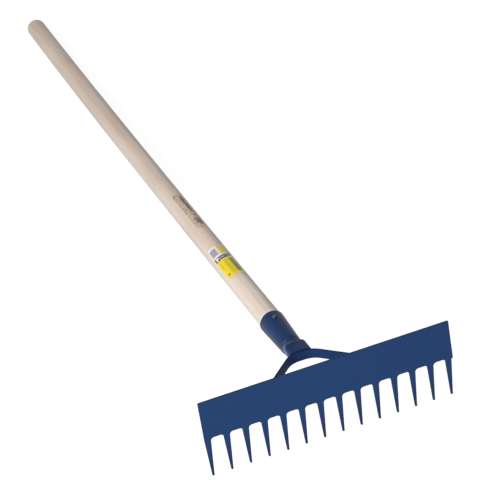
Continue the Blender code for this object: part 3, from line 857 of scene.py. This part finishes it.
# The blocks in the order they are printed: whether each follows the arc, its sides in degrees, its ends in
# millimetres, the softness of its edge, its share and its ink.
blocks = [
    ("straight", -54, -18, 441, 462, 0.6, 1.0, "lilac"),
    ("straight", -7, 40, 438.5, 467, 3.0, 1.0, "faded"),
    ("straight", 20, 36, 454, 468, 5.0, 0.6, "tawny"),
    ("straight", -4, 38, 440, 459, 8.0, 0.9, "lime"),
    ("straight", -57, -33, 423.2, 436.5, 0.8, 1.0, "dark"),
    ("straight", -49, -39.5, 425, 435, 0.8, 0.95, "white"),
    ("straight", -42, -33, 429, 434.5, 0.8, 0.8, "white"),
    ("straight", -40, -32.5, 422, 428.5, 0.8, 1.0, "black"),
    ("straight", -55.5, -50, 426, 435, 1.6, 0.55, "black"),
    ("arc", -33, 8, 423.6, 434.8, 0.8, 1.0, "dark"),
    ("arc", 8, 35, 424, 434.5, 0.8, 0.8, "dark"),
    ("arc", -32, 0, 427.5, 431.5, 1.5, 0.85, "pale"),
    ("arc", -58.5, 31, 360, 422.2, 0.6, 1.0, "yellow"),
    ("arc", -3, 31, 360, 422.2, 6.0, 0.6, "lime"),
    ("straight", -22, -8, 374, 419, 3.0, 0.6, "gold"),
    ("straight", -16, -8, 372, 417, 2.0, 0.16, "olive"),
    ("straight", -48.5, -40, 396, 417, 2.0, 0.95, "gold"),
    ("straight", -47, -35.5, 373.5, 380.5, 1.5, 0.72, "olive"),
    ("straight", -60, -47, 360, 375.5, 1.5, 0.75, "cream"),
    ("straight", -50, -40, 360, 373, 3.0, 0.6, "cream"),
    ("straight", 9, 31, 376, 420, 2.5, 0.74, "olive"),
    ("straight", 15, 31, 372, 398, 8.0, 0.55, "brown"),
]
shape = bmesh.new()
line = []
for along in stretchOf(label["near"], label["far"], label["steps"]) + [label["far"]]:
    line.append(shape.verts.new((0, shaftRadius(along) + label["gap"], along)))
edges = [shape.edges.new(pair) for pair in zip(line, line[1:])]
for vert in line:
    vert.co = Matrix.Rotation(math.radians(-label["left"]), 3, "Z") @ vert.co
bmesh.ops.spin(shape, geom=line + edges, cent=(0, 0, 0), axis=(0, 0, 1),
               angle=math.radians(label["left"] - label["right"]), steps=label["steps"])
bmesh.ops.recalc_face_normals(shape, faces=shape.faces)
layOnShaft(shape)
labelFilm, tree, shader = newSurface("labelFilm", Specular_IOR_Level=label["specular"],
                                     Coat_Weight=label["coat"])
aroundMap, turnOf, alongOf = readMap(tree)
fromMiddle = minus(tree, turnOf, label["arcMiddle"])
places = {
    "straight": alongOf,
    "arc": minus(tree, alongOf, times(tree, fromMiddle, fromMiddle, label["arcBend"])),
}
filmPoint = objectPoint(tree)
fleck = noiseOf(tree, filmPoint, *label["flecks"])
mottle = noiseOf(tree, filmPoint, *label["mottle"])
printed = ink["white"]
for follows, left, right, low, high, soft, share, name in blocks:
    block = times(tree, patch(tree, turnOf, places[follows], left, right, low, high, soft),
                  ramp(tree, fleck, *label["flecksFrom"], label["fleckShare"] * share, share))
    printed = blend(tree, block, printed, ink[name])
wearAndHighlight = ramp(tree, mottle, *label["wearAndHighlightFrom"], 0.0, label["wearAndHighlightShare"])
printed = tinted(tree, wearAndHighlight, printed, label["wearAndHighlight"])
put(tree, shader.inputs["Base Color"], printed)
gloss = noiseOf(tree, filmPoint, *label["glossPatches"])
put(tree, shader.inputs["Roughness"], ramp(tree, gloss, *noiseSpan, label["glossFrom"], label["glossTo"]))
creases = noiseOf(tree, filmPoint, *label["creases"])
roughen(tree, shader, creases, label["creaseStrength"], label["creaseDepth"])
labelPiece = addPiece("labelFilm", shape, labelFilm, ["label"], label["sharp"])
film = labelPiece.modifiers.new("Film", "SOLIDIFY")
film.thickness = label["thickness"]
film.offset = 1
print("label made")

white = (1, 1, 1, 1)

# The floor is grey and glows only for the camera and for reflections, which see it as white with the shadow
# left on it.
floor = {"size": 60, "colour": (0.38, 0.38, 0.38, 1), "glow": 0.865}
shape = bmesh.new()
bmesh.ops.create_grid(shape, x_segments=1, y_segments=1, size=floor["size"] / 2)
floorMesh = bpy.data.meshes.new("floor")
shape.to_mesh(floorMesh)
shape.free()
floorPiece = bpy.data.objects.new("floor", floorMesh)
bpy.context.scene.collection.objects.link(floorPiece)
floorPaper, tree, shader = newSurface("floorPaper", Base_Color=floor["colour"], Roughness=1.0,
                                      Specular_IOR_Level=0.0, Emission_Color=white)
rays = addNode(tree, "ShaderNodeLightPath").outputs
seen = maths(tree, "MAXIMUM", rays["Is Camera Ray"], rays["Is Glossy Ray"])
seen = maths(tree, "MAXIMUM", seen, rays["Is Transmission Ray"])
put(tree, shader.inputs["Emission Strength"], times(tree, seen, floor["glow"]))
floorMesh.materials.append(floorPaper)

# Light: one large soft lamp in front and to the left, about 30 degrees up, and an even pale surround.
lamp = {
    "aim": (0, -0.70, 0.06), "from": (-0.711, -0.50, 0.4945), "distance": 4.35, "size": 2.6, "power": 194,
}
lampData = bpy.data.lights.new("softLamp", "AREA")
lampData.shape = "DISK"
lampData.size = lamp["size"]
lampData.energy = lamp["power"]
softLamp = bpy.data.objects.new("softLamp", lampData)
bpy.context.scene.collection.objects.link(softLamp)
away = Vector(lamp["from"]).normalized()
softLamp.location = Vector(lamp["aim"]) + away * lamp["distance"]
softLamp.rotation_euler = away.to_track_quat("Z", "Y").to_euler()

# Reflections find the surround white up to a low height and duller overhead, and the camera sees it white.
surround = {"ambient": 0.31, "overhead": 0.4, "whiteTo": 12, "dullFrom": 50}
world = bpy.data.worlds.new("surround")
bpy.context.scene.world = world
world.use_nodes = True
tree = world.node_tree
background = tree.nodes["Background"]
background.inputs["Color"].default_value = white
skyward = splitOf(tree, addNode(tree, "ShaderNodeTexCoord").outputs["Generated"])["Z"]
mirrored = ramp(tree, skyward, math.sin(math.radians(surround["whiteTo"])),
                math.sin(math.radians(surround["dullFrom"])), 1.0, surround["overhead"])
rays = addNode(tree, "ShaderNodeLightPath").outputs
reflects = maths(tree, "MAXIMUM", rays["Is Glossy Ray"], rays["Is Transmission Ray"])
strength = ramp(tree, reflects, 0.0, 1.0, surround["ambient"], mirrored, smooth=False)
strength = ramp(tree, rays["Is Camera Ray"], 0.0, 1.0, strength, 1.0, smooth=False)
put(tree, background.inputs["Strength"], strength)

# The camera stands in front of the blade, to its left and above it, and is rolled a little.
view = {
    "place": (-0.93722, -3.3406, 2.13212), "aim": (0.01579, -0.36748, 0.1257), "roll": -7.6132,
    "lens": 172.517, "sensor": 36, "nearest": 0.05, "farthest": 200,
}
camera = bpy.data.objects.new("camera", bpy.data.cameras.new("camera"))
bpy.context.scene.collection.objects.link(camera)
camera.data.lens = view["lens"]
camera.data.sensor_width = view["sensor"]
camera.data.clip_start = view["nearest"]
camera.data.clip_end = view["farthest"]
camera.location = view["place"]
ahead = (Vector(view["aim"]) - Vector(view["place"])).normalized()
turned = ahead.to_track_quat("-Z", "Y").to_matrix() @ Matrix.Rotation(math.radians(view["roll"]), 3, "Z")
camera.rotation_euler = turned.to_euler()
bpy.context.scene.camera = camera
bpy.context.scene.view_settings.view_transform = "Standard"
print("floor, light and camera made")
